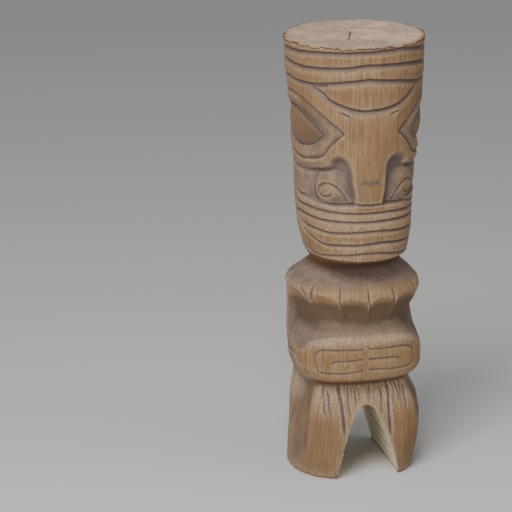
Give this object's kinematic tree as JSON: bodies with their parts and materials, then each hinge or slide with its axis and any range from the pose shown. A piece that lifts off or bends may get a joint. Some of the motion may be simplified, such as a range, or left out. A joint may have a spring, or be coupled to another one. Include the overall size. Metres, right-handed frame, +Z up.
{
  "type": "tiki statue",
  "caption": "Stout wooden tiki carved from one upright log, with a tall masked head, chest over folded hands, and legs parted by an arch.",
  "frame": {"origin": "the middle of the log on the ground, under the feet", "axes": "+Z up along the log; the figure faces -Y; +X is at the right of someone who looks at its face"},
  "size_m": [0.2996, 0.3, 0.952],
  "materials": {
    "carved_wood": "bare, weathered, gouge cut"
  },
  "bodies": {
    "root": {"carved_figure": "carved_wood"}
  },
  "joints": []
}
